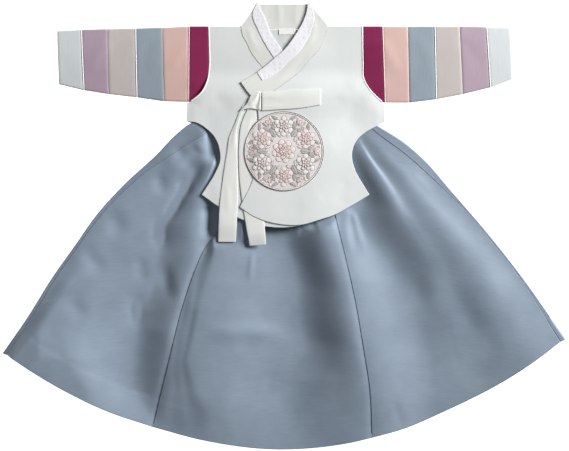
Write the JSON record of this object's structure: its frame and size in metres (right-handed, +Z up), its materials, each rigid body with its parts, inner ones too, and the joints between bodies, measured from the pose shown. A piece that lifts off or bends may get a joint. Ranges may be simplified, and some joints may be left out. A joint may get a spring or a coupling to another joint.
{
  "type": "korean hanbok",
  "caption": "Child's hanbok laid flat: short lapped jacket with striped sleeves, collar band, ribbon tie and round patch over a flared skirt.",
  "frame": {"origin": "on the surface that the garment lies on, under the middle of its outline", "axes": "+X to the viewer's right (the wearer's left), +Y from the skirt's hem to the neck, +Z up from the surface"},
  "size_m": [0.8618, 0.684, 0.0206],
  "materials": {
    "skirt_satin": "slubbed satin, soft sheen",
    "jacket_silk": "matt silk",
    "collar_silk": "matt silk",
    "white_trim": "fine brocade, soft sheen",
    "pink_trim": "matt silk",
    "strip_crimson": "matt silk",
    "strip_pink": "matt silk",
    "strip_blue": "matt silk",
    "strip_beige": "matt silk",
    "strip_mauve": "matt silk",
    "strip_cuff": "matt silk",
    "patch_ground": "embroidered, matt ground with silk stitches"
  },
  "bodies": {
    "root": {"chima_front_right": "skirt_satin", "chima_front_centre": "skirt_satin", "chima_front_left": "skirt_satin", "chima_back_right": "skirt_satin", "chima_back_left": "skirt_satin", "chima_waistband_front": "jacket_silk", "chima_waistband_back": "jacket_silk", "jeogori_back": "jacket_silk", "jeogori_front_right": "jacket_silk", "jeogori_front_left": "jacket_silk", "collar_back": "collar_silk", "collar_inner": "collar_silk", "collar_outer": "collar_silk", "dongjeong_inner": "white_trim", "dongjeong_outer": "white_trim", "neck_label": "white_trim", "sleeve_right_cuff": "strip_cuff", "sleeve_right_mauve": "strip_mauve", "sleeve_right_beige": "strip_beige", "sleeve_right_blue": "strip_blue", "sleeve_right_pink": "strip_pink", "sleeve_right_crimson": "strip_crimson", "piping_right_mauve": "white_trim", "piping_right_blue": "white_trim", "piping_right_crimson": "pink_trim", "piping_right_armhole": "white_trim", "sleeve_left_cuff": "strip_cuff", "sleeve_left_mauve": "strip_mauve", "sleeve_left_beige": "strip_beige", "sleeve_left_blue": "strip_blue", "sleeve_left_pink": "strip_pink", "sleeve_left_crimson": "strip_crimson", "piping_left_mauve": "white_trim", "piping_left_blue": "white_trim", "piping_left_crimson": "pink_trim", "piping_left_armhole": "white_trim", "goreum_knot": "collar_silk", "goreum_loop": "collar_silk", "goreum_tail_outer": "collar_silk", "goreum_tail_inner": "collar_silk", "medallion": "patch_ground"}
  },
  "joints": []
}
